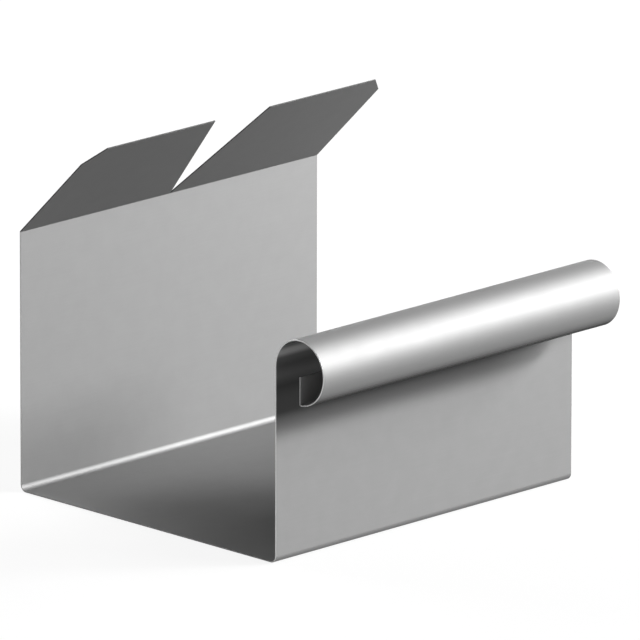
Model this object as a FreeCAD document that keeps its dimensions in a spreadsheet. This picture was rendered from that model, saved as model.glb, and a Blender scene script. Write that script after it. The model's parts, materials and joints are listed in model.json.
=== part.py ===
import FreeCAD, Part
import math
import os

import Sketcher

# Box gutter connector, folded from one piece of sheet metal, in millimetres.
# +X runs along the channel, -Y is the front with the rolled bead, +Y is the back with the two tabs.
# The origin is the middle of the underside of the floor, and the part is symmetric about X = 0.

SIZES = {
    # one gauge of sheet, from the tabs to the bead's lip
    "sheet_thickness": 0.4,
    # the channel, from end to end and over the outer faces of its two walls
    "channel_length": 141.5,
    "outer_width": 122.0,
    # outside radius of the two bends at the floor
    "floor_bend_radius": 2.5,
    # inside radius of the two sharp folds, at the tabs and at the bead's lip
    "fold_radius": 0.3,
    # height of the outer corner where the tabs fold off the back wall
    "back_height": 91.0,
    # how far the tabs lean in over the trough, in degrees from upright, and their length from that corner
    "tab_lean": 45.5,
    "tab_length": 49.2,
    # the V between the tabs, across its mouth
    "notch_width": 26.0,
    # the corners cut off at the outer ends of the tabs
    "corner_cut_along": 7.0,
    "corner_cut_down": 7.8,
    # height of the top of the bead, its outside diameter, and how far its lip stands up inside it
    "front_height": 79.5,
    "bead_diameter": 22.7,
    "lip_height": 10.0,
}

NODE = "connector_sheet"

# straight runs and bends of the sheet, in order from the tabs' free edge to the lip's free edge
CHAIN = ["tab", "tab_fold", "back_wall", "back_bend", "floor", "front_bend", "front_wall", "bead", "lip_fold", "lip"]

# lengths taken up by the fold at the tabs, as the spreadsheet works them out
FOLD_OUTSIDE = "(sizes.fold_radius + sizes.sheet_thickness)"
FOLD_SETBACK = f"{FOLD_OUTSIDE} * tan(sizes.tab_lean / 2)"


class Bend:
    """A bend of the sheet: its centre across the channel, a radius for each face, and its angles.

    Angles are in degrees from +Y towards +Z. The outer face is the outside of the channel, which turns
    into the inside of the bead. The angle falls at the bends that close round the trough, when the
    sheet is followed along the chain, and rises at the bead and its lip.
    """

    def __init__(self, centre, outer_radius, inner_radius, low, high, falls):
        self.centre = centre
        self.radius = {"outer": outer_radius, "inner": inner_radius}
        self.low = low
        self.high = high
        self.enter = 2 if falls else 1
        self.leave = 1 if falls else 2

    def arc(self, face):
        """The arc that one face of the sheet makes here."""
        circle = Part.Circle(FreeCAD.Vector(*self.centre, 0), FreeCAD.Vector(0, 0, 1), self.radius[face])
        return Part.ArcOfCircle(circle, math.radians(self.low), math.radians(self.high))

    def point(self, face, end):
        """The start (1) or the end (2) of that arc."""
        angle = math.radians(self.low if end == 1 else self.high)
        across = self.centre[0] + self.radius[face] * math.cos(angle)
        up = self.centre[1] + self.radius[face] * math.sin(angle)
        return FreeCAD.Vector(across, up, 0)


def list_bends(size):
    """Where the five bends lie, for the section's first drawing."""
    thickness = size["sheet_thickness"]
    half = size["outer_width"] / 2
    floor_radius = size["floor_bend_radius"]
    fold_radius = size["fold_radius"]
    fold_outside = fold_radius + thickness
    fold_up = size["back_height"] - fold_outside * math.tan(math.radians(size["tab_lean"] / 2))
    bead_radius = size["bead_diameter"] / 2
    bead_across = thickness - half - bead_radius
    bead_up = size["front_height"] - bead_radius
    # the lip's fold touches the roll from inside, and brings the lip up on the bead's centre line
    reach = bead_radius - fold_outside
    turn = math.degrees(math.asin(fold_outside / reach))
    lip_centre = (bead_across - fold_outside, bead_up - math.sqrt(reach**2 - fold_outside**2))
    floor_inside = floor_radius - thickness
    return {
        "tab_fold": Bend((half - fold_outside, fold_up), fold_outside, fold_radius, 0, size["tab_lean"], True),
        "back_bend": Bend((half - floor_radius, floor_radius), floor_radius, floor_inside, -90, 0, True),
        "front_bend": Bend((floor_radius - half, floor_radius), floor_radius, floor_inside, -180, -90, True),
        "bead": Bend((bead_across, bead_up), bead_radius - thickness, bead_radius, 0, 270 - turn, False),
        "lip_fold": Bend(lip_centre, fold_radius, fold_outside, 270 - turn, 360, False),
    }


def write_sizes(doc):
    """Keep the driving sizes in a spreadsheet, each number beside its name."""
    sheet = doc.addObject("Spreadsheet::Sheet", "sizes")
    for row, (name, number) in enumerate(SIZES.items(), start=1):
        sheet.set(f"A{row}", name.replace("_", " "))
        sheet.set(f"B{row}", str(number))
        sheet.setAlias(f"B{row}", name)
    doc.recompute()
    return {name: float(sheet.get(name)) for name in SIZES}


def add_sketch(body, name, role):
    """A sketch on one of the body's own three planes."""
    sketch = body.newObject("Sketcher::SketchObject", name)
    plane = next(feature for feature in body.Origin.OriginFeatures if feature.Role == role)
    sketch.AttachmentSupport = [(plane, "")]
    sketch.MapMode = "FlatFace"
    return sketch


def relate(sketch, *relation):
    """Add a relation between parts of a sketch."""
    return sketch.addConstraint(Sketcher.Constraint(*relation))


def measure(sketch, name, expression, *dimension):
    """Add a dimension to a sketch, and tie it to the spreadsheet."""
    sketch.renameConstraint(relate(sketch, *dimension), name)
    sketch.setExpression(f"Constraints.{name}", expression)


def draw_face(sketch, face, bends, first, last):
    """Draw one face of the sheet from its end at the tabs to its end at the lip, each part tangent to the next."""
    drawn = {}
    point = first
    for name, following in zip(CHAIN, CHAIN[1:] + [None]):
        if name in bends:
            drawn[name] = sketch.addGeometry(bends[name].arc(face), False)
            point = bends[name].point(face, bends[name].leave)
        else:
            stop = bends[following].point(face, bends[following].enter) if following else last
            drawn[name] = sketch.addGeometry(Part.LineSegment(point, stop), False)
    for name, following in zip(CHAIN, CHAIN[1:]):
        leave = bends[name].leave if name in bends else 2
        enter = bends[following].enter if following in bends else 1
        relate(sketch, "Tangent", drawn[name], leave, drawn[following], enter)
    return drawn


def draw_section(body, size):
    """The fold seen along the channel, at full thickness, as one closed outline."""
    sketch = add_sketch(body, "section", "YZ_Plane")
    bends = list_bends(size)
    thickness = size["sheet_thickness"]
    lean = math.radians(size["tab_lean"])
    half = size["outer_width"] / 2

    # the tabs' free edge, square across the sheet
    tab_outer = FreeCAD.Vector(half - size["tab_length"] * math.sin(lean),
                               size["back_height"] + size["tab_length"] * math.cos(lean), 0)
    tab_inner = tab_outer - FreeCAD.Vector(thickness * math.cos(lean), thickness * math.sin(lean), 0)
    # the lip's free edge, square across the sheet
    lip_inner = FreeCAD.Vector(bends["bead"].centre[0],
                               size["front_height"] - size["bead_diameter"] + size["lip_height"], 0)
    lip_outer = lip_inner - FreeCAD.Vector(thickness, 0, 0)

    outer = draw_face(sketch, "outer", bends, tab_outer, lip_outer)
    inner = draw_face(sketch, "inner", bends, tab_inner, lip_inner)
    tab_edge = sketch.addGeometry(Part.LineSegment(tab_outer, tab_inner), False)
    lip_edge = sketch.addGeometry(Part.LineSegment(lip_outer, lip_inner), False)
    for edge, place, end in ((tab_edge, "tab", 1), (lip_edge, "lip", 2)):
        relate(sketch, "Coincident", edge, 1, outer[place], end)
        relate(sketch, "Coincident", edge, 2, inner[place], end)

    # both faces turn about the same centres
    for name in bends:
        relate(sketch, "Coincident", outer[name], 3, inner[name], 3)

    relate(sketch, "Vertical", outer["back_wall"])
    relate(sketch, "Vertical", outer["front_wall"])
    relate(sketch, "Vertical", outer["lip"])
    relate(sketch, "Vertical", inner["lip"])
    relate(sketch, "Horizontal", lip_edge)
    relate(sketch, "Perpendicular", tab_edge, outer["tab"])
    relate(sketch, "Parallel", inner["tab"], outer["tab"])

    # the underside lies on the sketch's own horizontal axis (-1), centred on its upright one (-2)
    relate(sketch, "PointOnObject", outer["floor"], 1, -1)
    relate(sketch, "Symmetric", outer["floor"], 1, outer["floor"], 2, -2)
    measure(sketch, "width", "sizes.outer_width",
            "DistanceX", outer["front_wall"], 1, outer["back_wall"], 1, 2 * half)

    floor_inside = "sizes.floor_bend_radius - sizes.sheet_thickness"
    for name in ("back_bend", "front_bend"):
        measure(sketch, f"{name}_outside", "sizes.floor_bend_radius",
                "Radius", outer[name], bends[name].radius["outer"])
        measure(sketch, f"{name}_inside", floor_inside,
                "Radius", inner[name], bends[name].radius["inner"])

    measure(sketch, "tab_fold_outside", FOLD_OUTSIDE,
            "Radius", outer["tab_fold"], bends["tab_fold"].radius["outer"])
    measure(sketch, "tab_fold_inside", "sizes.fold_radius",
            "Radius", inner["tab_fold"], bends["tab_fold"].radius["inner"])
    measure(sketch, "tab_fold_up", f"sizes.back_height - {FOLD_SETBACK}",
            "DistanceY", -1, 1, outer["tab_fold"], 3, bends["tab_fold"].centre[1])
    measure(sketch, "tab_direction", "sizes.tab_lean - 90",
            "Angle", outer["tab"], lean - math.pi / 2)
    measure(sketch, "tab_run", f"sizes.tab_length - {FOLD_SETBACK}",
            "Distance", outer["tab"], (tab_outer - bends["tab_fold"].point("outer", 2)).Length)

    measure(sketch, "bead_outside", "sizes.bead_diameter / 2",
            "Radius", inner["bead"], bends["bead"].radius["inner"])
    measure(sketch, "bead_inside", "sizes.bead_diameter / 2 - sizes.sheet_thickness",
            "Radius", outer["bead"], bends["bead"].radius["outer"])
    measure(sketch, "bead_up", "sizes.front_height - sizes.bead_diameter / 2",
            "DistanceY", -1, 1, outer["bead"], 3, bends["bead"].centre[1])

    # the lip's fold gets its outside radius from the roll that it closes
    measure(sketch, "lip_fold_inside", "sizes.fold_radius",
            "Radius", outer["lip_fold"], bends["lip_fold"].radius["outer"])
    relate(sketch, "Vertical", inner["bead"], 3, inner["lip"], 2)
    measure(sketch, "lip_up", "sizes.front_height - sizes.bead_diameter + sizes.lip_height",
            "DistanceY", -1, 1, inner["lip"], 2, lip_inner.y)
    return sketch


def draw_triangle(sketch, points):
    """Three lines that close on each other; line n runs from point n to the next."""
    corners = [FreeCAD.Vector(across, up, 0) for across, up in points]
    lines = [sketch.addGeometry(Part.LineSegment(a, b), False) for a, b in zip(corners, corners[1:] + corners[:1])]
    for line, following in zip(lines, lines[1:] + lines[:1]):
        relate(sketch, "Coincident", line, 2, following, 1)
    return lines


def draw_tab_cuts(body, size):
    """The V notch and the two cut corners, drawn on the tabs' upper face.

    The sketch leans with the tabs. Its upright axis starts at the fold's outer corner and runs up the
    tabs, so the tabs' free edge is the tab length up, and the notch's point is where the fold ends.
    """
    sketch = add_sketch(body, "tab_cuts", "XY_Plane")
    sketch.AttachmentOffset = FreeCAD.Placement(
        FreeCAD.Vector(0, size["outer_width"] / 2, size["back_height"]),
        FreeCAD.Rotation(FreeCAD.Vector(1, 0, 0), 90 + size["tab_lean"]))
    sketch.setExpression("AttachmentOffset.Base.y", "sizes.outer_width / 2")
    sketch.setExpression("AttachmentOffset.Base.z", "sizes.back_height")
    sketch.setExpression("AttachmentOffset.Rotation.Angle", "90 + sizes.tab_lean")

    edge = size["tab_length"]
    end = size["channel_length"] / 2
    mouth = size["notch_width"] / 2
    along = size["corner_cut_along"]
    down = size["corner_cut_down"]
    root = (size["fold_radius"] + size["sheet_thickness"]) * math.tan(math.radians(size["tab_lean"] / 2))

    # notch: from its point to the right of its mouth, across the mouth, and back
    notch = draw_triangle(sketch, [(0, root), (mouth, edge), (-mouth, edge)])
    relate(sketch, "PointOnObject", notch[0], 1, -2)
    relate(sketch, "Symmetric", notch[1], 1, notch[1], 2, -2)
    measure(sketch, "notch_root", FOLD_SETBACK, "DistanceY", -1, 1, notch[0], 1, root)
    measure(sketch, "notch_edge", "sizes.tab_length", "DistanceY", -1, 1, notch[1], 1, edge)
    measure(sketch, "notch_mouth", "sizes.notch_width", "DistanceX", notch[1], 2, notch[1], 1, 2 * mouth)

    # corners: from the tab's own corner down the end, then up the cut, then out along the free edge
    corners = []
    for side in (1, -1):
        corner = draw_triangle(sketch, [(side * end, edge), (side * end, edge - down), (side * (end - along), edge)])
        relate(sketch, "Vertical", corner[0])
        relate(sketch, "Horizontal", corner[2])
        corners.append(corner)
    right, left = corners
    relate(sketch, "Symmetric", right[0], 1, left[0], 1, -2)
    relate(sketch, "Equal", right[0], left[0])
    relate(sketch, "Equal", right[2], left[2])
    measure(sketch, "corner_edge", "sizes.tab_length", "DistanceY", -1, 1, right[0], 1, edge)
    measure(sketch, "corner_ends", "sizes.channel_length", "DistanceX", left[0], 1, right[0], 1, 2 * end)
    measure(sketch, "corner_down", "sizes.corner_cut_down", "DistanceY", right[0], 2, right[0], 1, down)
    measure(sketch, "corner_along", "sizes.corner_cut_along", "DistanceX", right[2], 1, right[2], 2, along)
    return sketch


def fold_sheet(doc, size):
    """The connector: its section run along the channel, then the tabs cut to shape."""
    body = doc.addObject("PartDesign::Body", NODE)
    body.Label = NODE

    channel = body.newObject("PartDesign::Pad", "channel")
    channel.Profile = draw_section(body, size)
    channel.SideType = "Symmetric"
    channel.setExpression("Length", "sizes.channel_length")
    doc.recompute()

    cut = body.newObject("PartDesign::Pocket", "cut")
    cut.Profile = draw_tab_cuts(body, size)
    # the sketch faces the trough, so the cut runs the way it faces, past the tabs' underside
    cut.Reversed = True
    cut.setExpression("Length", "2 * sizes.sheet_thickness")
    body.Tip = cut
    doc.recompute()
    return body, channel


def check(doc, body, channel, size):
    """Stop if a feature failed, or if the cuts took off less or more than they should."""
    for item in doc.Objects:
        if "Invalid" in item.State or "Error" in item.State:
            raise RuntimeError(f"{item.Name} did not build")
    for sketch in doc.findObjects("Sketcher::SketchObject"):
        if not sketch.FullyConstrained:
            raise RuntimeError(f"{sketch.Name} is not fully constrained")
    shape = body.Shape
    if shape.isNull() or not shape.isValid() or len(shape.Solids) != 1:
        raise RuntimeError("the connector is not one valid solid")
    cuts = next(item for item in doc.Objects if item.Name == "tab_cuts").Shape
    area = sum(Part.Face(wire).Area for wire in cuts.Wires)
    removed = channel.Shape.Volume - shape.Volume
    if abs(removed - area * size["sheet_thickness"]) > 0.01 * removed:
        raise RuntimeError("the cuts in the tabs do not go through the sheet")


def main():
    doc = FreeCAD.newDocument("gutter_connector")
    size = write_sizes(doc)
    body, channel = fold_sheet(doc, size)
    check(doc, body, channel, size)
    os.makedirs("parts", exist_ok=True)
    body.Shape.exportStep(f"parts/{NODE}.step")
    box = body.Shape.BoundBox
    print(f"{NODE}: {box.XLength:.2f} x {box.YLength:.2f} x {box.ZLength:.2f} mm, {body.Shape.Volume:.0f} mm3")


main()
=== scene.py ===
import json
import math

import bpy
import numpy as np
from bpy.props import FloatProperty, FloatVectorProperty, PointerProperty
from mathutils import Matrix, Vector


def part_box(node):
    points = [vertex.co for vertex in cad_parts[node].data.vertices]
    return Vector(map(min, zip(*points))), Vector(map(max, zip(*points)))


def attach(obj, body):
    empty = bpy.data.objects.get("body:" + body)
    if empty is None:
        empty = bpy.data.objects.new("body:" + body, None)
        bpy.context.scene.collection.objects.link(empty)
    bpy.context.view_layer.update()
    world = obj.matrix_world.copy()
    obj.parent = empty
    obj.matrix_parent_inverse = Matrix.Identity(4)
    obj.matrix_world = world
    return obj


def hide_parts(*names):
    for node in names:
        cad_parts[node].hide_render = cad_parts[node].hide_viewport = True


bl_info = {
    "name": "Gutter connector",
    "version": (1, 0, 0),
    "blender": (4, 5, 0),
    "location": "3D View > Sidebar > Gutter",
    "description": "A box gutter connector folded from one sheet, in a plain pale studio",
    "category": "Add Mesh",
}

# The frame comes first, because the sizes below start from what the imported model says.
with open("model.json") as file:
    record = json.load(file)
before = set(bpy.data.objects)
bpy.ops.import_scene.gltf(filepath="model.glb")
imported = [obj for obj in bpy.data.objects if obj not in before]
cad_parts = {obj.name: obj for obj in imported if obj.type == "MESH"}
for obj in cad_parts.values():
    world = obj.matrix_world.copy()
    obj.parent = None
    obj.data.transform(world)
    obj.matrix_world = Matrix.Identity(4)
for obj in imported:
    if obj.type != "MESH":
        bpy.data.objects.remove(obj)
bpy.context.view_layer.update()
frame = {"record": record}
LOW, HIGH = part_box("connector_sheet")
MOUNTS = {mount["name"]: mount for mount in frame["record"]["mounts"]}

SHEET_THICKNESS = MOUNTS["gutter_floor_seat"]["pos_m"][2]
HALF_WIDTH = MOUNTS["back_wall_outside"]["pos_m"][1]
BEAD_RADIUS = MOUNTS["bead"]["dims"]["r_mm"] / 1000
BEAD_HEIGHT = MOUNTS["bead"]["pos_m"][2]

# Divisions of each run and bend of the sheet, from the tabs' free edge to the lip's free edge.
DIVISIONS = [9, 8, 16, 12, 20, 12, 12, 96, 12, 3]
# Divisions across each half of the sheet, and points in each quarter round of its cut edges.
ACROSS_DIVISIONS = 14
EDGE_STEPS = 4
# Rows this far from each bend's ends keep what the bends do to the zinc from spreading over the flats.
BESIDE_BENDS = (-0.0006, -0.0003, 0.0003, 0.0006)
# A row closer than this to a corner of the cut line gives way to the corner's own row.
ROW_CLEARANCE = 0.00002
# Rows closer than this are the same row.
SAME_ROW = 1e-9
# Points in one cell of this size are one vertex. The offset, a share of a cell, keeps round values off
# the borders between cells.
WELD_CELL = 1e-7
WELD_OFFSET = 0.37

# Stations along the blank, in metres, that lie before its first row and past its last one.
BEFORE_BLANK = (-0.002, -0.001)
PAST_BLANK = (1.0, 1.1)
# How far along on the blank's map the outer face lies from the inner, in metres.
OUTER_FACE = 1.0
# The noises of the zinc's marks seldom leave this range.
MARKS_RANGE = (0.3, 0.7)

# The softboxes: name, azimuth and elevation in degrees, distance, width and height in metres, and which
# of the studio's powers each has.
SOFTBOXES = (
    ("Near key softbox", 65.0, 27.0, 0.8, 0.2, 0.1, "near_power"),
    ("Middle key softbox", 50.0, 27.0, 1.5, 0.35, 0.18, "middle_power"),
    ("Far key softbox", 35.0, 20.0, 4.0, 1.0, 0.5, "far_power"),
    ("Fill softbox", -60.0, 22.0, 1.5, 0.7, 0.5, "fill_power"),
    ("Right rear softbox", 168.0, 24.0, 1.5, 0.7, 0.5, "rear_power"),
    ("Left rear softbox", -172.0, 32.0, 1.5, 0.7, 0.5, "rear_power"),
)
# The height that they face, the gap between the floor and the object's underside, and the picture's
# width on the camera's sensor in millimetres.
LIT_HEIGHT = 0.04
FLOOR_GAP = 0.0001
SENSOR_WIDTH = 36.0


def length_property(name, description, default):
    """A length in metres, for a PropertyGroup."""
    return FloatProperty(
        name=name,
        description=description,
        default=default,
        min=0.0,
        precision=6,
        subtype="DISTANCE",
        unit="LENGTH",
    )


def angle_property(name, description, degrees):
    """An angle, given in degrees and kept in radians, for a PropertyGroup."""
    return FloatProperty(
        name=name,
        description=description,
        default=math.radians(degrees),
        subtype="ANGLE",
        unit="ROTATION",
    )


def share_property(name, description, default):
    """A plain number from 0 to 1, for a PropertyGroup."""
    return FloatProperty(
        name=name,
        description=description,
        default=default,
        min=0.0,
        max=1.0,
        subtype="FACTOR",
    )


def power_property(name, description, default):
    """A lamp's power in watts, for a PropertyGroup."""
    return FloatProperty(
        name=name,
        description=description,
        default=default,
        min=0.0,
        unit="POWER",
    )


def colour_property(name, description, default):
    """A linear colour, for a PropertyGroup."""
    return FloatVectorProperty(
        name=name,
        description=description,
        default=default,
        min=0.0,
        max=1.0,
        subtype="COLOR",
    )


class SheetSizes(bpy.types.PropertyGroup):
    """Sizes of the blank and of its folds."""

    thickness: length_property("Thickness", "Thickness of the sheet", SHEET_THICKNESS)
    length: length_property("Length", "Length along the channel", HIGH.x - LOW.x)
    half_width: length_property("Half width", "From the middle to the outer face of a wall", HALF_WIDTH)
    floor_bend: length_property("Floor bends", "Outside radius of the two bends at the floor", 0.0025)
    fold: length_property("Sharp folds", "Inside radius of the folds at the tabs and the lip", 0.0003)
    back_height: length_property("Back height", "Height of the corner where the tabs fold off", 0.091)
    tab_lean: angle_property("Tab lean", "How far the tabs lean in from upright", 45.5)
    tab_length: length_property("Tab length", "Length of the tabs from that corner", 0.0492)
    notch_width: length_property("Notch width", "Mouth of the V between the tabs", 0.026)
    corner_along: length_property("Corner cut along", "Corner cut off a tab, along the channel", 0.007)
    corner_down: length_property("Corner cut down", "Corner cut off a tab, down the tab", 0.0078)
    bead_radius: length_property("Bead radius", "Outside radius of the rolled bead", BEAD_RADIUS)
    bead_height: length_property("Bead height", "Height of the middle of the bead", BEAD_HEIGHT)
    lip_height: length_property("Lip height", "How far the lip stands up from the bead's bottom", 0.01)
    edge_radius: length_property("Cut edge radius", "Rounding left by the shear on the cut edges", 0.00008)


class ZincFinish(bpy.types.PropertyGroup):
    """Colours and gloss of the galvanised sheet, and the shade and light painted on it."""

    pale: colour_property("Pale zinc", "The brighter of the two greys in the zinc", (0.358, 0.358, 0.358))
    dull: colour_property("Dull zinc", "The darker of the two greys in the zinc", (0.346, 0.346, 0.346))
    # Colour of the shade painted on the zinc: a painted shadow in the crease and hollow of the roll, lighter
    # painted shade elsewhere.
    shade_colour: colour_property("Sheltered zinc", "The dust that lies on sheltered zinc", (0.1, 0.1, 0.1))
    edge: colour_property("Sheared steel", "The bare steel on the cut edges", (0.86, 0.86, 0.86))
    # Colour of the shade painted on the cut edges along the tabs, the floor, the back wall and the lip.
    shaded_edge: colour_property("Dull edge", "The tarnish on the duller cut edges", (0.1, 0.1, 0.1))
    # Colour of the light painted on the zinc.
    bright: colour_property("Bright zinc", "Clean zinc, as a dip leaves it", (0.75, 0.75, 0.75))
    # These five shares say how much shade is painted on each part of the zinc.
    under_tabs: share_property("Under the tabs", "How dusty the zinc is under the tabs", 0.23)
    on_floor: share_property("On the floor", "How dusty the zinc is on the channel's floor", 0.13)
    on_wall: share_property("On the wall", "How dusty the zinc is on the front wall's outside", 0.08)
    under_roll: share_property("Under the roll", "How dusty the zinc is under the roll", 0.85)
    deep_in_roll: share_property("Deep in the roll", "How dusty the zinc is inside the roll's top", 0.45)
    # These three shares say how much light is painted on parts of the roll, one as a painted highlight
    # strip.
    on_roll: share_property("On the roll", "How bright the zinc is on top of the roll", 0.15)
    in_top: share_property("In the roll's top", "How bright a strip of zinc is in the roll's top", 0.6)
    in_roll: share_property("In the roll", "How bright the zinc is in the roll's front and on the lip", 0.42)
    grazing: share_property("Grazing gloss", "Share of a metal's gloss that grazing angles keep", 0.1)
    roughness: share_property("Roughness", "Roughness of the rolled face", 0.69)
    roughness_spread: share_property("Roughness spread", "How far the marks change it either way", 0.01)
    shade_roughness: share_property("Dust roughness", "Roughness of dusty zinc", 0.62)
    edge_roughness: share_property("Edge roughness", "Roughness of the cut edges", 0.42)
    edge_spread: share_property("Edge spread", "How far the shear's lines change it either way", 0.04)
    edge_shade: share_property("Edge shade", "How bright the darker lines are beside the brighter", 0.8)
    shaded_edge_roughness: share_property("Tarnish roughness", "Roughness of the duller cut edges", 0.6)
    # The painted shadow under the roll fades in over this length of wall.
    shadow_fade: length_property("Shelter fade", "Length of wall over which the dust thins out", 0.0145)
    grain_depth: length_property("Grain depth", "Height of the rolling grain", 0.0000015)
    shear_depth: length_property("Shear depth", "Height of the lines on the cut edges", 0.000004)


class StudioSettings(bpy.types.PropertyGroup):
    """Where the camera stands and how bright the studio is."""

    azimuth: angle_property("Camera azimuth", "Turn of the camera about the object, from the front", 45.177)
    elevation: angle_property("Camera elevation", "How far the camera looks down", 15.671)
    roll: angle_property("Camera roll", "Turn of the picture", 0.097)
    distance: length_property("Camera distance", "From the camera to the point it looks at", 5.504353)
    lens: FloatProperty(name="Lens", description="Focal length for a 36 mm sensor", default=917.2, min=1.0)
    aim: FloatVectorProperty(
        name="Aim",
        description="The point that the camera looks at",
        default=(0.00803, -0.00321, 0.05723),
        subtype="XYZ",
        unit="LENGTH",
    )
    near_power: power_property("Near key power", "Power of the small softbox close by", 2.8)
    middle_power: power_property("Middle key power", "Power of the softbox at the front right", 26.0)
    far_power: power_property("Far key power", "Power of the wide softbox far in front", 67.0)
    fill_power: power_property("Fill power", "Power of the softbox on the camera's side", 1.2)
    rear_power: power_property("Rear power", "Power of each of the two softboxes behind", 10.0)
    room: share_property("Room", "Brightness of the plain grey room", 0.05)
    mirrored_room: share_property("Mirrored room", "Share of the room's white that reflections show", 0.1)
    floor_shadow: share_property("Floor shadow", "Share of the floor's look that is its shading", 0.12)
    mirrored_floor: share_property("Mirrored floor", "How white the floor is in reflections", 0.6)
    floor_bounce: share_property("Floor bounce", "Share of its light that the floor throws back", 0.18)


def list_elements(sizes):
    """Length and change of heading of each run and bend of the sheet's middle line, tabs first.

    A bend's length is its middle radius times its angle. A fold takes its outside radius times the
    tangent of half its angle off each run beside it. The bead turns on until its lip's fold, which
    touches it from inside, brings the lip up on the bead's own centre line.
    """
    half_sheet = sizes.thickness / 2
    fold_middle = sizes.fold + half_sheet
    fold_outside = sizes.fold + sizes.thickness
    setback = fold_outside * math.tan(sizes.tab_lean / 2)
    floor_middle = sizes.floor_bend - half_sheet
    bead_middle = sizes.bead_radius - half_sheet
    reach = sizes.bead_radius - fold_outside
    turn = math.asin(fold_outside / reach)
    quarter = math.pi / 2
    lip_start = sizes.bead_height - math.sqrt(reach**2 - fold_outside**2)
    lip_end = sizes.bead_height - sizes.bead_radius + sizes.lip_height
    lengths_and_turns = [
        (sizes.tab_length - setback, 0.0),
        (fold_middle * sizes.tab_lean, -sizes.tab_lean),
        (sizes.back_height - setback - sizes.floor_bend, 0.0),
        (floor_middle * quarter, -quarter),
        (2 * (sizes.half_width - sizes.floor_bend), 0.0),
        (floor_middle * quarter, -quarter),
        (sizes.bead_height - sizes.floor_bend, 0.0),
        (bead_middle * (3 * quarter - turn), 3 * quarter - turn),
        (fold_middle * (quarter + turn), quarter + turn),
        (lip_end - lip_start, 0.0),
    ]
    return np.array(lengths_and_turns)


def element_ends(sizes):
    """Places along the sheet where its ten runs and bends end, tabs first."""
    return [float(end) for end in np.cumsum(list_elements(sizes)[:, 0])]


def follow_section(sizes, along):
    """Points, headings and trough-side normals of the middle line, at lengths measured from the tabs.

    Within one run or bend the heading grows evenly with the length d gone, by 2h in all. So the point
    lies one chord of length d * sin(h) / h from its start, in the direction of the first heading plus h.
    The normal on the trough's side is the heading turned a quarter to its right.
    """
    elements = list_elements(sizes)
    lengths, turns = elements.T
    starts = np.concatenate([[0.0], np.cumsum(lengths)[:-1]])
    first_heading = sizes.tab_lean - math.pi / 2
    headings = first_heading + np.concatenate([[0.0], np.cumsum(turns)[:-1]])
    lean_out = np.array([-math.sin(sizes.tab_lean), math.cos(sizes.tab_lean)])
    lean_up = np.array([math.cos(sizes.tab_lean), math.sin(sizes.tab_lean)])
    corner = np.array([sizes.half_width, sizes.back_height])
    free_edge = corner + sizes.tab_length * lean_out - sizes.thickness / 2 * lean_up

    def chord(length, heading, turn):
        middle = heading + turn / 2
        reach = length * np.sinc(turn / (2 * math.pi))
        return np.stack([reach * np.cos(middle), reach * np.sin(middle)], axis=-1)

    gone_before = np.cumsum(chord(lengths, headings, turns), axis=0)[:-1]
    corners = free_edge + np.concatenate([[[0.0, 0.0]], gone_before])
    which = np.clip(np.searchsorted(starts, along, side="right") - 1, 0, len(starts) - 1)
    gone = along - starts[which]
    turned = gone * (turns / lengths)[which]
    points = corners[which] + chord(gone, headings[which], turned)
    heading = headings[which] + turned
    forward = np.stack([np.cos(heading), np.sin(heading)], axis=-1)
    inward = np.stack([np.sin(heading), -np.cos(heading)], axis=-1)
    return points, forward, inward


def fold_up(sizes, across, along, height):
    """Places in space, headings and normals for points of the flat blank.

    The blank's point is (across, along), and height is how far off the middle of the sheet it lies,
    towards the trough. The place is the middle line's point plus height times the normal there.
    """
    points, forward, inward = follow_section(sizes, along)
    middle = points + height[..., None] * inward
    flat = np.zeros(along.shape + (1,))
    place = np.concatenate([across[..., None], middle], axis=-1)
    heading = np.concatenate([flat, forward], axis=-1)
    normal = np.concatenate([flat, inward], axis=-1)
    return place, heading, normal


def blank_corners(sizes):
    """Corners of the right half of the flat blank, from the notch's root round to the lip's edge."""
    ends = element_ends(sizes)
    half_length = sizes.length / 2
    return np.array([
        (0.0, ends[0]),
        (sizes.notch_width / 2, 0.0),
        (half_length - sizes.corner_along, 0.0),
        (half_length, sizes.corner_down),
        (half_length, ends[-1]),
    ])


def cut_line(sizes):
    """The blank's cut line as a closed loop: corners, each side's outward normal, and each corner's mitre.

    A mitre is the sum of its two sides' normals over one plus their product, so that moving every
    corner along it by a distance moves every side out by that distance.
    """
    right = blank_corners(sizes)
    left = (right * (-1.0, 1.0))[:0:-1]
    corners = np.concatenate([right, left])
    sides = np.roll(corners, -1, axis=0) - corners
    sides /= np.linalg.norm(sides, axis=1, keepdims=True)
    outward = np.stack([sides[:, 1], -sides[:, 0]], axis=-1)
    before = np.roll(outward, 1, axis=0)
    product = (outward * before).sum(axis=1, keepdims=True)
    mitres = (outward + before) / (1 + product)
    return corners, outward, mitres


def list_stations(sizes, inset_corners):
    """Lengths along the sheet at which its grid has a row.

    They are the divisions of each run and bend, and the corners of the inset cut line.
    """
    ends = np.array([0.0, *element_ends(sizes)])
    rows = np.concatenate([
        np.linspace(start, end, count, endpoint=False)
        for start, end, count in zip(ends[:-1], ends[1:], DIVISIONS)
    ])
    beside = (ends[1:-1, None] + np.array(BESIDE_BENDS)).ravel()
    rows = np.concatenate([rows, beside])
    needed = np.unique(inset_corners[:, 1])
    inside = (rows > needed[0]) & (rows < needed[-1])
    clear = np.abs(rows[:, None] - needed[None, :]).min(axis=1) > ROW_CLEARANCE
    return np.sort(np.concatenate([rows[inside & clear], needed]))


class Patch:
    """A grid of points on the sheet's skin, with their normals and their places on the flat blank."""

    def __init__(self, place, normal, flat, material):
        self.place = place
        self.normal = normal
        self.flat = flat
        self.material = material


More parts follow.
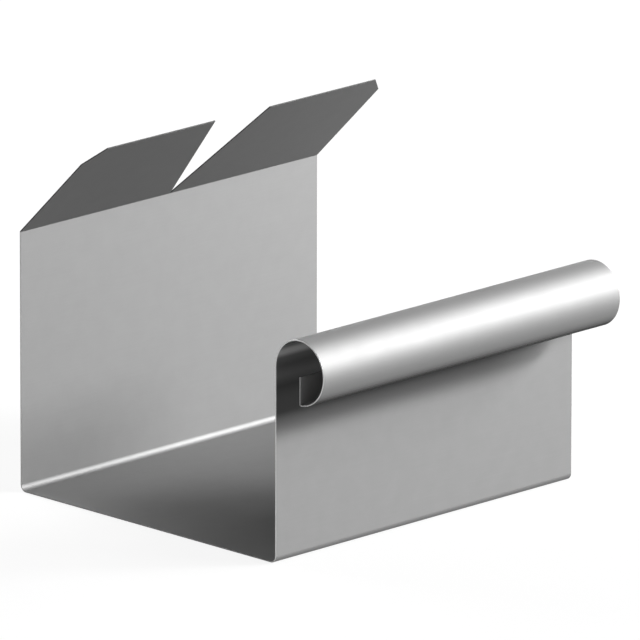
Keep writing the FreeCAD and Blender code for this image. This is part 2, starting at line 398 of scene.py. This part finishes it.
def face_patch(sizes, across, along, side):
    """One half of one face of the sheet, side being +1 towards the trough and -1 away from it.

    Every point lies half the thickness off the middle of the sheet. Both faces show the blank's own
    pattern, the outer face a metre along from the inner, so that the two differ.
    """
    height = np.full(across.shape, side * sizes.thickness / 2)
    place, _heading, normal = fold_up(sizes, across, along, height)
    flat = np.stack([across + OUTER_FACE * (1 - side) / 2, along], axis=-1)
    return Patch(place, side * normal, flat, 0)


def edge_patch(sizes, line, outward, mitres):
    """The cut edge along one side of the blank.

    line holds points of the inset cut line. The edge's profile leaves the upper face in a quarter
    round, drops square to the faces, and comes in again in a second quarter round. A point of it lies
    radius * sin(a) out along the mitre and half the thickness less radius * (1 - cos(a)) off the middle.
    """
    radius = sizes.edge_radius
    quarter = np.linspace(0, math.pi / 2, EDGE_STEPS)
    angle = np.concatenate([quarter, quarter[::-1]])
    side = np.concatenate([np.ones(EDGE_STEPS), -np.ones(EDGE_STEPS)])
    out = radius * np.sin(angle)
    height = side * (sizes.thickness / 2 - radius * (1 - np.cos(angle)))
    across = line[:, None, 0] + out[None, :] * mitres[:, None, 0]
    along = line[:, None, 1] + out[None, :] * mitres[:, None, 1]
    place, heading, inward = fold_up(sizes, across, along, np.broadcast_to(height, across.shape))
    sideways = np.array([1.0, 0.0, 0.0])
    face_out = outward[0] * sideways + outward[1] * heading
    normal = np.sin(angle)[None, :, None] * face_out + (side * np.cos(angle))[None, :, None] * inward
    flat = np.stack([across, along + height[None, :]], axis=-1)
    return Patch(place, normal, flat, 1)


def sheet_patches(sizes):
    """All the patches of the sheet's skin: two halves of two faces, and the cut edge round them."""
    corners, outward, mitres = cut_line(sizes)
    inset = corners - sizes.edge_radius * mitres
    rows = list_stations(sizes, inset)
    root, mouth, tab_corner, side_corner, lip_corner = inset[:5]
    bounds = np.stack([tab_corner, side_corner, lip_corner])
    outer_edge = np.interp(rows, bounds[:, 1], bounds[:, 0])
    inner_edge = np.interp(rows, [mouth[1], root[1]], [mouth[0], 0.0])
    share = np.linspace(0, 1, ACROSS_DIVISIONS + 1)
    across = inner_edge[:, None] + share[None, :] * (outer_edge - inner_edge)[:, None]
    along = np.broadcast_to(rows[:, None], across.shape)
    patches = [
        face_patch(sizes, hand * across, along, side)
        for hand in (1, -1)
        for side in (1, -1)
    ]
    # The cut edge goes side by side round the blank, on the same points as the faces' own borders.
    notch_rows = rows <= root[1] + SAME_ROW
    cut_rows = rows <= side_corner[1] + SAME_ROW
    side_rows = rows >= side_corner[1] - SAME_ROW
    notch_side = np.stack([inner_edge, rows], axis=-1)[notch_rows][::-1]
    free_edge = np.stack([across[0], along[0]], axis=-1)
    corner_cut = np.stack([outer_edge, rows], axis=-1)[cut_rows]
    channel_end = np.stack([outer_edge, rows], axis=-1)[side_rows]
    lip_edge = np.stack([across[-1], along[-1]], axis=-1)[::-1]
    mirror = np.array([-1.0, 1.0])
    whole_lip_edge = np.concatenate([lip_edge, (lip_edge * mirror)[::-1][1:]])
    lines = [
        notch_side,
        free_edge,
        corner_cut,
        channel_end,
        whole_lip_edge,
        (channel_end * mirror)[::-1],
        (corner_cut * mirror)[::-1],
        (free_edge * mirror)[::-1],
        (notch_side * mirror)[::-1],
    ]
    for number, line in enumerate(lines):
        gone = np.linalg.norm(line - line[0], axis=1, keepdims=True)
        share = gone / gone[-1]
        first = mitres[number]
        last = mitres[(number + 1) % len(mitres)]
        reach = first + share * (last - first)
        patches.append(edge_patch(sizes, line, outward[number], reach))
    return patches


def patch_faces(patch, first):
    """Corner numbers of a patch's faces, turned so that each face looks the way its normals do."""
    rows, columns = patch.place.shape[:2]
    number = first + np.arange(rows * columns).reshape(rows, columns)
    faces = np.stack([number[:-1, :-1], number[:-1, 1:], number[1:, 1:], number[1:, :-1]], axis=-1)
    place = patch.place
    diagonal = place[1:, 1:] - place[:-1, :-1]
    other = place[1:, :-1] - place[:-1, 1:]
    looks = (np.cross(diagonal, other) * patch.normal[:-1, :-1]).sum(axis=-1)
    faces = np.where(looks[..., None] > 0, faces, faces[..., ::-1])
    return faces.reshape(-1, 4)


def mesh_from_patches(name, patches):
    """One closed mesh from patches that share their border points, with the surface's own normals."""
    place = np.concatenate([patch.place.reshape(-1, 3) for patch in patches])
    normal = np.concatenate([patch.normal.reshape(-1, 3) for patch in patches])
    flat = np.concatenate([patch.flat.reshape(-1, 2) for patch in patches])
    faces = []
    materials = []
    first = 0
    for patch in patches:
        patch_corners = patch_faces(patch, first)
        faces.append(patch_corners)
        materials.append(np.full(len(patch_corners), patch.material))
        first += patch.place.shape[0] * patch.place.shape[1]
    faces = np.concatenate(faces)
    materials = np.concatenate(materials)
    cells = np.floor(place / WELD_CELL + WELD_OFFSET).astype(np.int64)
    _cells, kept, welded = np.unique(cells, axis=0, return_index=True, return_inverse=True)
    mesh = bpy.data.meshes.new(name)
    mesh.from_pydata(place[kept], [], welded.reshape(-1)[faces])
    mesh.polygons.foreach_set("material_index", materials)
    mesh.polygons.foreach_set("use_smooth", np.ones(len(faces), bool))
    layer = mesh.uv_layers.new(name="Blank")
    layer.data.foreach_set("uv", flat[faces.reshape(-1)].ravel())
    mesh.normals_split_custom_set(normal[faces.reshape(-1)])
    mesh.update()
    return mesh


def add_node(tree, kind, place, **values):
    """A node at a place in its tree, with some of its settings."""
    node = tree.nodes.new(kind)
    node.location = place
    for name, value in values.items():
        setattr(node, name, value)
    return node


def zinc_marks_group():
    """Marks of rolled and dipped zinc, from the place on the flat blank in metres.

    Grain is noise drawn out along the rolling direction. Mottle is soft cloudy noise, as the zinc's
    crystals leave on a smooth dip. Marks is the two together round one half, and Height is the grain.
    """
    group = bpy.data.node_groups.new("Zinc marks", "ShaderNodeTree")
    face = group.interface
    face.new_socket("Blank", in_out="INPUT", socket_type="NodeSocketVector")
    for name, default in (("Grain length", 0.03), ("Grain width", 0.0004), ("Mottle size", 0.006)):
        socket = face.new_socket(name, in_out="INPUT", socket_type="NodeSocketFloat")
        socket.default_value = default
    grain_share = face.new_socket("Grain share", in_out="INPUT", socket_type="NodeSocketFloat")
    grain_share.default_value = 0.5
    face.new_socket("Marks", in_out="OUTPUT", socket_type="NodeSocketFloat")
    face.new_socket("Height", in_out="OUTPUT", socket_type="NodeSocketFloat")
    inputs = add_node(group, "NodeGroupInput", (-900, 0))
    outputs = add_node(group, "NodeGroupOutput", (500, 0))
    sizes = add_node(group, "ShaderNodeCombineXYZ", (-700, -150))
    group.links.new(inputs.outputs["Grain length"], sizes.inputs["X"])
    group.links.new(inputs.outputs["Grain width"], sizes.inputs["Y"])
    sizes.inputs["Z"].default_value = 1.0
    stretched = add_node(group, "ShaderNodeVectorMath", (-500, 0), operation="DIVIDE")
    group.links.new(inputs.outputs["Blank"], stretched.inputs[0])
    group.links.new(sizes.outputs["Vector"], stretched.inputs[1])
    grain = add_node(group, "ShaderNodeTexNoise", (-300, 0))
    grain.inputs["Scale"].default_value = 1.0
    grain.inputs["Detail"].default_value = 4.0
    grain.inputs["Roughness"].default_value = 0.6
    group.links.new(stretched.outputs["Vector"], grain.inputs["Vector"])
    clouds_place = add_node(group, "ShaderNodeVectorMath", (-500, -350), operation="SCALE")
    per_metre = add_node(group, "ShaderNodeMath", (-700, -400), operation="DIVIDE")
    per_metre.inputs[0].default_value = 1.0
    group.links.new(inputs.outputs["Mottle size"], per_metre.inputs[1])
    group.links.new(inputs.outputs["Blank"], clouds_place.inputs[0])
    group.links.new(per_metre.outputs["Value"], clouds_place.inputs["Scale"])
    clouds = add_node(group, "ShaderNodeTexNoise", (-300, -350))
    clouds.inputs["Scale"].default_value = 1.0
    clouds.inputs["Detail"].default_value = 3.0
    clouds.inputs["Roughness"].default_value = 0.5
    group.links.new(clouds_place.outputs["Vector"], clouds.inputs["Vector"])
    blend = add_node(group, "ShaderNodeMix", (0, -100), data_type="FLOAT")
    group.links.new(inputs.outputs["Grain share"], blend.inputs["Factor"])
    group.links.new(clouds.outputs["Fac"], blend.inputs["A"])
    group.links.new(grain.outputs["Fac"], blend.inputs["B"])
    group.links.new(blend.outputs["Result"], outputs.inputs["Marks"])
    group.links.new(grain.outputs["Fac"], outputs.inputs["Height"])
    return group


def lay_coat(tree, number, blank, under, coat):
    """The colour and roughness of a coat laid over what is under it.

    The coat has a colour, a roughness, and the bands across the blank where it lies. Their sum is the
    share of the coat in the mix.
    """
    coat_colour, coat_roughness, bands = coat
    left = 250 + 400 * number
    mask = band_sum(tree, blank, (-1500, -350 - 1500 * number), bands)
    colour = add_node(tree, "ShaderNodeMix", (left, 200), data_type="RGBA")
    colour.inputs["B"].default_value = (*coat_colour, 1.0)
    roughness = add_node(tree, "ShaderNodeMix", (left, -50), data_type="FLOAT")
    roughness.inputs["B"].default_value = coat_roughness
    for mixed, below in zip((colour, roughness), under):
        tree.links.new(mask, mixed.inputs["Factor"])
        tree.links.new(below, mixed.inputs["A"])
    return colour.outputs["Result"], roughness.outputs["Result"]


def metal_material(name, group, marks, colours, roughness, grazing, grain_depth, coats):
    """A metal whose colour and roughness follow the marks, and whose grain stands up by grain_depth.

    colours are the dull and the pale grey, and roughness is the pair that goes with them. Each coat
    lies over the metal and the coats before it.
    """
    material = bpy.data.materials.new(name)
    material.use_nodes = True
    tree = material.node_tree
    tree.nodes.clear()
    output = add_node(tree, "ShaderNodeOutputMaterial", (1600, 0))
    shader = add_node(tree, "ShaderNodeBsdfPrincipled", (1300, 0))
    shader.inputs["Metallic"].default_value = 1.0
    shader.inputs["Specular Tint"].default_value = (grazing, grazing, grazing, 1.0)
    tree.links.new(shader.outputs["BSDF"], output.inputs["Surface"])
    blank = add_node(tree, "ShaderNodeUVMap", (-700, 0), uv_map="Blank")
    zinc = add_node(tree, "ShaderNodeGroup", (-450, 0), node_tree=group)
    tree.links.new(blank.outputs["UV"], zinc.inputs["Blank"])
    for socket, value in marks.items():
        zinc.inputs[socket].default_value = value
    spread = add_node(tree, "ShaderNodeMapRange", (-200, 100))
    spread.inputs["From Min"].default_value = MARKS_RANGE[0]
    spread.inputs["From Max"].default_value = MARKS_RANGE[1]
    tree.links.new(zinc.outputs["Marks"], spread.inputs["Value"])
    colour = add_node(tree, "ShaderNodeMix", (50, 200), data_type="RGBA")
    colour.inputs["A"].default_value = (*colours[0], 1.0)
    colour.inputs["B"].default_value = (*colours[1], 1.0)
    tree.links.new(spread.outputs["Result"], colour.inputs["Factor"])
    gloss = add_node(tree, "ShaderNodeMapRange", (50, -50))
    gloss.inputs["To Min"].default_value = roughness[0]
    gloss.inputs["To Max"].default_value = roughness[1]
    tree.links.new(spread.outputs["Result"], gloss.inputs["Value"])
    coated = (colour.outputs["Result"], gloss.outputs["Result"])
    for number, coat in enumerate(coats):
        coated = lay_coat(tree, number, blank.outputs["UV"], coated, coat)
    tree.links.new(coated[0], shader.inputs["Base Color"])
    tree.links.new(coated[1], shader.inputs["Roughness"])
    bump = add_node(tree, "ShaderNodeBump", (1050, -300))
    bump.inputs["Strength"].default_value = 1.0
    bump.inputs["Distance"].default_value = grain_depth
    tree.links.new(zinc.outputs["Height"], bump.inputs["Height"])
    tree.links.new(bump.outputs["Normal"], shader.inputs["Normal"])
    return material


def smooth_step(tree, value, place, start, end, first=0.0, last=1.0):
    """From first to last as the value goes from start to end, by the smooth step 3t^2 - 2t^3."""
    step = add_node(tree, "ShaderNodeMapRange", place, interpolation_type="SMOOTHSTEP")
    step.inputs["From Min"].default_value = start
    step.inputs["From Max"].default_value = end
    step.inputs["To Min"].default_value = first
    step.inputs["To Max"].default_value = last
    tree.links.new(value, step.inputs["Value"])
    return step.outputs["Result"]


def band_mask(tree, along, place, stations, level):
    """The level in a band across the blank, and nought outside it.

    A smooth step rises to the level between the first two stations along the blank. It is multiplied by
    one that falls from one to nought between the last two.
    """
    rise = smooth_step(tree, along, place, stations[0], stations[1], 0.0, level)
    fall = smooth_step(tree, along, (place[0], place[1] - 250), stations[2], stations[3], 1.0, 0.0)
    band = add_node(tree, "ShaderNodeMath", (place[0] + 200, place[1]), operation="MULTIPLY")
    tree.links.new(rise, band.inputs[0])
    tree.links.new(fall, band.inputs[1])
    return band.outputs["Value"]


def slanted_along(tree, spot, place, slant):
    """Places along the blank's outer face, less a shift that grows towards the channel's far end.

    The slant is the places across the face where the shift begins and ends, and the whole shift, which
    comes in by a smooth step.
    """
    start, end, shift = slant
    back = smooth_step(tree, spot.outputs["X"], place, OUTER_FACE + start, OUTER_FACE + end, 0.0, -shift)
    along = add_node(tree, "ShaderNodeMath", (place[0] + 200, place[1]), operation="ADD")
    tree.links.new(spot.outputs["Y"], along.inputs[0])
    tree.links.new(back, along.inputs[1])
    return along.outputs["Value"]


def band_sum(tree, blank, place, bands):
    """The sum of some bands across the blank, as a mask.

    Each band is a face (nought the inner, one the outer), its four stations, its level and, where its
    borders slant, their slant. The outer face lies a metre along on the blank's map, so a comparison
    with half of that tells the faces apart. A band counts on its own face only.
    """
    left, top = place
    spot = add_node(tree, "ShaderNodeSeparateXYZ", (left, top))
    tree.links.new(blank, spot.inputs["Vector"])
    outer = add_node(tree, "ShaderNodeMath", (left + 200, top), operation="GREATER_THAN")
    outer.inputs[1].default_value = OUTER_FACE / 2
    tree.links.new(spot.outputs["X"], outer.inputs[0])
    nearly = 0.1
    total = None
    for number, (face, stations, level, *slants) in enumerate(bands):
        low = top - 500 * number
        along = spot.outputs["Y"]
        for slant in slants:
            along = slanted_along(tree, spot, (left, low), slant)
        band = band_mask(tree, along, (left + 400, low), stations, level)
        agrees = add_node(tree, "ShaderNodeMath", (left + 600, low - 250), operation="COMPARE")
        tree.links.new(outer.outputs["Value"], agrees.inputs[0])
        agrees.inputs[1].default_value = face
        agrees.inputs[2].default_value = nearly
        added = add_node(tree, "ShaderNodeMath", (left + 800, low), operation="MULTIPLY_ADD")
        tree.links.new(band, added.inputs[0])
        tree.links.new(agrees.outputs["Value"], added.inputs[1])
        added.inputs[2].default_value = 0.0
        if total is not None:
            tree.links.new(total, added.inputs[2])
        total = added.outputs["Value"]
    return total


def galvanised_material(finish, sizes, group):
    """The sheet's two faces: smooth grey zinc with a fine rolling grain and a soft mottle.

    In the crease between the wall and the roll, and under the roll, a dark painted shadow stands in for
    the shade there. That painted shadow narrows towards the far end of the channel. Lighter painted
    shade lies under the tabs, on the channel's floor, on the front wall and deep in the roll. Painted light
    makes it paler on top of the roll, in a strip at the roll's top inside that stands for a highlight, and
    on the roll's front inside.
    """
    tab, fold, _back, back_bend, floor, front_bend, wall_top, roll, lip_fold, _lip = element_ends(sizes)
    # Under the bead the painted shadow deepens up to one station and fades from the next, to the wall's top.
    deepest_shade = wall_top - 1.22 * sizes.bead_radius
    shade_fading = wall_top - 0.75 * sizes.bead_radius
    # From 25 mm to 80 mm past the channel's middle, the crease's painted shadow draws back by 8.5 mm.
    narrowing = (0.025, 0.08, 0.0085)
    far_on_floor = back_bend + 0.06
    under_roll = (roll - 0.0112, roll - 0.0042, roll, lip_fold)
    crease = (deepest_shade - finish.shadow_fade, deepest_shade, shade_fading, wall_top)
    deep_in_roll = (wall_top - 0.004, wall_top, wall_top + 0.013, wall_top + 0.02)
    top_of_roll = (wall_top + 0.004, wall_top + 0.01, wall_top + 0.023, wall_top + 0.029)
    strip_in_roll = (wall_top + 0.0025, wall_top + 0.0048, wall_top + 0.0056, wall_top + 0.0085)
    front_in_roll = (wall_top + 0.02, wall_top + 0.026, *PAST_BLANK)
    # Bands where shade is painted on the zinc, darkest as a painted shadow in the crease under the roll.
    painted_shade_bands = (
        (0, (*BEFORE_BLANK, tab, fold), finish.under_tabs),
        (0, (back_bend, far_on_floor, floor, front_bend), finish.on_floor),
        (0, under_roll, finish.under_roll),
        (1, (floor, front_bend, shade_fading, wall_top), finish.on_wall),
        (1, crease, 1.0, narrowing),
        (1, deep_in_roll, finish.deep_in_roll),
    )
    # Bands where light is painted: paler zinc on the roll's top and front inside, and a painted highlight
    # strip in the roll's top.
    painted_light_bands = (
        (0, top_of_roll, finish.on_roll),
        (1, strip_in_roll, finish.in_top),
        (1, front_in_roll, finish.in_roll),
    )
    marks = {"Grain length": 0.03, "Grain width": 0.0005, "Mottle size": 0.007, "Grain share": 0.4}
    return metal_material(
        "Galvanised sheet",
        group,
        marks,
        (finish.dull, finish.pale),
        (finish.roughness + finish.roughness_spread, finish.roughness - finish.roughness_spread),
        finish.grazing,
        finish.grain_depth,
        (
            (finish.shade_colour, finish.shade_roughness, painted_shade_bands),
            (finish.bright, finish.roughness, painted_light_bands),
        ),
    )


def sheared_material(finish, sizes, group):
    """The cut edges: bare bright steel with the fine upright lines of the shear.

    Shade is painted on them: darkest along the tabs, a little less so along the floor, and least along
    the back wall and the lip.
    """
    tab, fold, back, back_bend, floor, front_bend, _wall_top, roll, lip_fold, lip = element_ends(sizes)
    along_lip = (roll - 0.012, lip_fold, lip + 0.001, lip + 0.002)
    # Bands along the cut edges where shade is painted on.
    shaded_edge_bands = (
        (0, (*BEFORE_BLANK, tab, fold), 1.0),
        (0, (tab, fold, back, back_bend), 0.4),
        (0, (back, back_bend, floor, front_bend), 0.75),
        (0, along_lip, 0.5),
    )
    marks = {"Grain length": 0.0003, "Grain width": 0.003, "Mottle size": 0.002, "Grain share": 0.8}
    darker = tuple(finish.edge_shade * value for value in finish.edge)
    return metal_material(
        "Sheared edge",
        group,
        marks,
        (darker, finish.edge),
        (finish.edge_roughness + finish.edge_spread, finish.edge_roughness - finish.edge_spread),
        1.0,
        finish.shear_depth,
        ((finish.shaded_edge, finish.shaded_edge_roughness, shaded_edge_bands),),
    )


def add_object(name, data):
    """A new object in the scene's own collection."""
    thing = bpy.data.objects.new(name, data)
    bpy.context.scene.collection.objects.link(thing)
    return thing


def add_camera(studio):
    """The camera on its long lens.

    It stands at the aim plus the distance along the line back from the object, which comes from the
    azimuth and elevation, and its picture is turned by the roll.
    """
    turn = studio.azimuth
    tilt = studio.elevation
    back = Vector((-math.sin(turn) * math.cos(tilt), -math.cos(turn) * math.cos(tilt), math.sin(tilt)))
    right = Vector((math.cos(turn), -math.sin(turn), 0.0))
    upward = back.cross(right)
    rolled_right = right * math.cos(studio.roll) + upward * math.sin(studio.roll)
    rolled_up = upward * math.cos(studio.roll) - right * math.sin(studio.roll)
    data = bpy.data.cameras.new("Camera")
    data.lens = studio.lens
    data.sensor_width = SENSOR_WIDTH
    data.clip_start = 0.1
    data.clip_end = 100.0
    camera = add_object("Camera", data)
    turned = Matrix((rolled_right, rolled_up, back)).transposed().to_4x4()
    camera.matrix_world = Matrix.Translation(Vector(studio.aim) + studio.distance * back) @ turned
    bpy.context.scene.camera = camera


def add_softbox(name, azimuth, elevation, distance, width, height, watts):
    """A rectangular soft light that faces the object.

    The azimuth goes from the front (-Y) towards the right (+X), and both angles are in degrees.
    """
    turn = math.radians(azimuth)
    tilt = math.radians(elevation)
    away = Vector((math.sin(turn) * math.cos(tilt), -math.cos(turn) * math.cos(tilt), math.sin(tilt)))
    data = bpy.data.lights.new(name, "AREA")
    data.shape = "RECTANGLE"
    data.size = width
    data.size_y = height
    data.energy = watts
    light = add_object(name, data)
    light.location = Vector((0.0, 0.0, LIT_HEIGHT)) + distance * away
    light.rotation_euler = away.to_track_quat("Z", "Y").to_euler()


def seen_share(tree, place, direct, mirrored):
    """A share by the kind of ray: direct from the camera, mirrored in metal or glass, else nought."""
    path = add_node(tree, "ShaderNodeLightPath", place)
    seen = add_node(tree, "ShaderNodeMath", (place[0] + 200, place[1]), operation="MAXIMUM")
    tree.links.new(path.outputs["Is Glossy Ray"], seen.inputs[0])
    tree.links.new(path.outputs["Is Transmission Ray"], seen.inputs[1])
    reflected = add_node(tree, "ShaderNodeMath", (place[0] + 400, place[1]), operation="MULTIPLY")
    tree.links.new(seen.outputs["Value"], reflected.inputs[0])
    reflected.inputs[1].default_value = mirrored
    shown = add_node(tree, "ShaderNodeMath", (place[0] + 600, place[1]), operation="MULTIPLY_ADD")
    tree.links.new(path.outputs["Is Camera Ray"], shown.inputs[0])
    shown.inputs[1].default_value = direct
    tree.links.new(reflected.outputs["Value"], shown.inputs[2])
    return path, shown.outputs["Value"]


def floor_material(studio):
    """A white floor: plain white to the camera and to reflections, with a share of its real shading.

    That share keeps the object's soft shadow. All other light finds a floor that throws back only the
    bounce, so that the floor's white doesn't light the object from below. Seen from under it, the
    floor is clear, so that the object's underside shows.
    """
    material = bpy.data.materials.new("Studio floor")
    material.use_nodes = True
    tree = material.node_tree
    tree.nodes.clear()
    output = add_node(tree, "ShaderNodeOutputMaterial", (1200, 0))
    path, share = seen_share(tree, (-600, -300), 1.0 - studio.floor_shadow, studio.mirrored_floor)
    speckle = add_node(tree, "ShaderNodeTexNoise", (-400, 150))
    speckle.inputs["Scale"].default_value = 40.0
    place = add_node(tree, "ShaderNodeTexCoord", (-600, 150))
    tree.links.new(place.outputs["Object"], speckle.inputs["Vector"])
    paint = add_node(tree, "ShaderNodeMix", (-200, 150), data_type="RGBA")
    paint.inputs["A"].default_value = (0.88, 0.88, 0.88, 1.0)
    paint.inputs["B"].default_value = (0.92, 0.92, 0.92, 1.0)
    tree.links.new(speckle.outputs["Fac"], paint.inputs["Factor"])
    bounce = studio.floor_bounce
    colour = add_node(tree, "ShaderNodeMix", (0, 150), data_type="RGBA")
    colour.inputs["A"].default_value = (bounce, bounce, bounce, 1.0)
    tree.links.new(path.outputs["Is Camera Ray"], colour.inputs["Factor"])
    tree.links.new(paint.outputs["Result"], colour.inputs["B"])
    matt = add_node(tree, "ShaderNodeBsdfDiffuse", (300, 150))
    tree.links.new(colour.outputs["Result"], matt.inputs["Color"])
    glow = add_node(tree, "ShaderNodeEmission", (300, -50))
    glow.inputs["Strength"].default_value = 1.0
    both = add_node(tree, "ShaderNodeMixShader", (700, 0))
    tree.links.new(share, both.inputs["Fac"])
    tree.links.new(matt.outputs["BSDF"], both.inputs[1])
    tree.links.new(glow.outputs["Emission"], both.inputs[2])
    side = add_node(tree, "ShaderNodeNewGeometry", (700, 250))
    clear = add_node(tree, "ShaderNodeBsdfTransparent", (700, -200))
    from_below = add_node(tree, "ShaderNodeMixShader", (950, 0))
    tree.links.new(side.outputs["Backfacing"], from_below.inputs["Fac"])
    tree.links.new(both.outputs["Shader"], from_below.inputs[1])
    tree.links.new(clear.outputs["BSDF"], from_below.inputs[2])
    tree.links.new(from_below.outputs["Shader"], output.inputs["Surface"])
    return material


def add_floor(studio):
    """A wide flat floor: one square, 16 m on a side, a tenth of a millimetre under the object."""
    left, right, front, rear = -8.0, 8.0, -6.0, 10.0
    outline = [(left, front), (right, front), (right, rear), (left, rear)]
    corners = [(*corner, -FLOOR_GAP) for corner in outline]
    data = bpy.data.meshes.new("Studio floor")
    data.from_pydata(corners, [], [(0, 1, 2, 3)])
    data.materials.append(floor_material(studio))
    floor = add_object("Studio floor", data)


def light_room(studio):
    """A plain dim grey room all round.

    The camera sees it as white as the floor, and metal and glass show a share of that white.
    """
    world = bpy.data.worlds.new("Studio room")
    world.use_nodes = True
    tree = world.node_tree
    background = tree.nodes["Background"]
    background.inputs["Strength"].default_value = 1.0
    _path, share = seen_share(tree, (-1200, 0), 1.0, studio.mirrored_room)
    room = add_node(tree, "ShaderNodeMix", (-300, 0), data_type="RGBA")
    room.inputs["A"].default_value = (studio.room, studio.room, studio.room, 1.0)
    room.inputs["B"].default_value = (1.0, 1.0, 1.0, 1.0)
    tree.links.new(share, room.inputs["Factor"])
    tree.links.new(room.outputs["Result"], background.inputs["Color"])
    bpy.context.scene.world = world


def light_object(studio):
    """The softboxes: three keys at the front right, a weak fill on the camera's side, and two behind."""
    for name, azimuth, elevation, distance, width, height, power in SOFTBOXES:
        add_softbox(name, azimuth, elevation, distance, width, height, getattr(studio, power))


class GUTTER_OT_folded_sheet(bpy.types.Operator):
    """Make the connector's folded sheet, from its tabs to the lip inside its bead."""

    bl_idname = "gutter.folded_sheet"
    bl_label = "Folded sheet"

    def execute(self, context):
        sizes = context.scene.gutter_sheet
        finish = context.scene.gutter_finish
        mesh = mesh_from_patches("folded_sheet", sheet_patches(sizes))
        marks = zinc_marks_group()
        mesh.materials.append(galvanised_material(finish, sizes, marks))
        mesh.materials.append(sheared_material(finish, sizes, marks))
        sheet = add_object("folded_sheet", mesh)
        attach(sheet, "root")
        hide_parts("connector_sheet")
        return {"FINISHED"}


class GUTTER_OT_studio(bpy.types.Operator):
    """Set up the floor, the soft lights and the camera."""

    bl_idname = "gutter.studio"
    bl_label = "Studio"

    def execute(self, context):
        studio = context.scene.gutter_studio
        context.scene.view_settings.view_transform = "Standard"
        light_room(studio)
        add_floor(studio)
        light_object(studio)
        add_camera(studio)
        return {"FINISHED"}


class GUTTER_PT_panel(bpy.types.Panel):
    """The connector's sizes, its finish, the studio, and the buttons that make them."""

    bl_idname = "GUTTER_PT_panel"
    bl_label = "Gutter connector"
    bl_space_type = "VIEW_3D"
    bl_region_type = "UI"
    bl_category = "Gutter"

    def draw(self, context):
        scene = context.scene
        parts = (
            (scene.gutter_sheet, GUTTER_OT_folded_sheet),
            (scene.gutter_finish, None),
            (scene.gutter_studio, GUTTER_OT_studio),
        )
        for settings, operator in parts:
            box = self.layout.box()
            for name in settings.__annotations__:
                box.prop(settings, name)
            if operator is not None:
                box.operator(operator.bl_idname)


CLASSES = (
    SheetSizes,
    ZincFinish,
    StudioSettings,
    GUTTER_OT_folded_sheet,
    GUTTER_OT_studio,
    GUTTER_PT_panel,
)


def register():
    """Register the classes and hang the settings on the scene."""
    for cls in CLASSES:
        bpy.utils.register_class(cls)
    bpy.types.Scene.gutter_sheet = PointerProperty(type=SheetSizes)
    bpy.types.Scene.gutter_finish = PointerProperty(type=ZincFinish)
    bpy.types.Scene.gutter_studio = PointerProperty(type=StudioSettings)


def unregister():
    """Take the settings off the scene and unregister the classes."""
    del bpy.types.Scene.gutter_studio
    del bpy.types.Scene.gutter_finish
    del bpy.types.Scene.gutter_sheet
    for cls in reversed(CLASSES):
        bpy.utils.unregister_class(cls)


def main():
    """Make the object and the studio."""
    register()
    bpy.ops.gutter.folded_sheet()
    bpy.ops.gutter.studio()


if __name__ == "__main__":
    main()
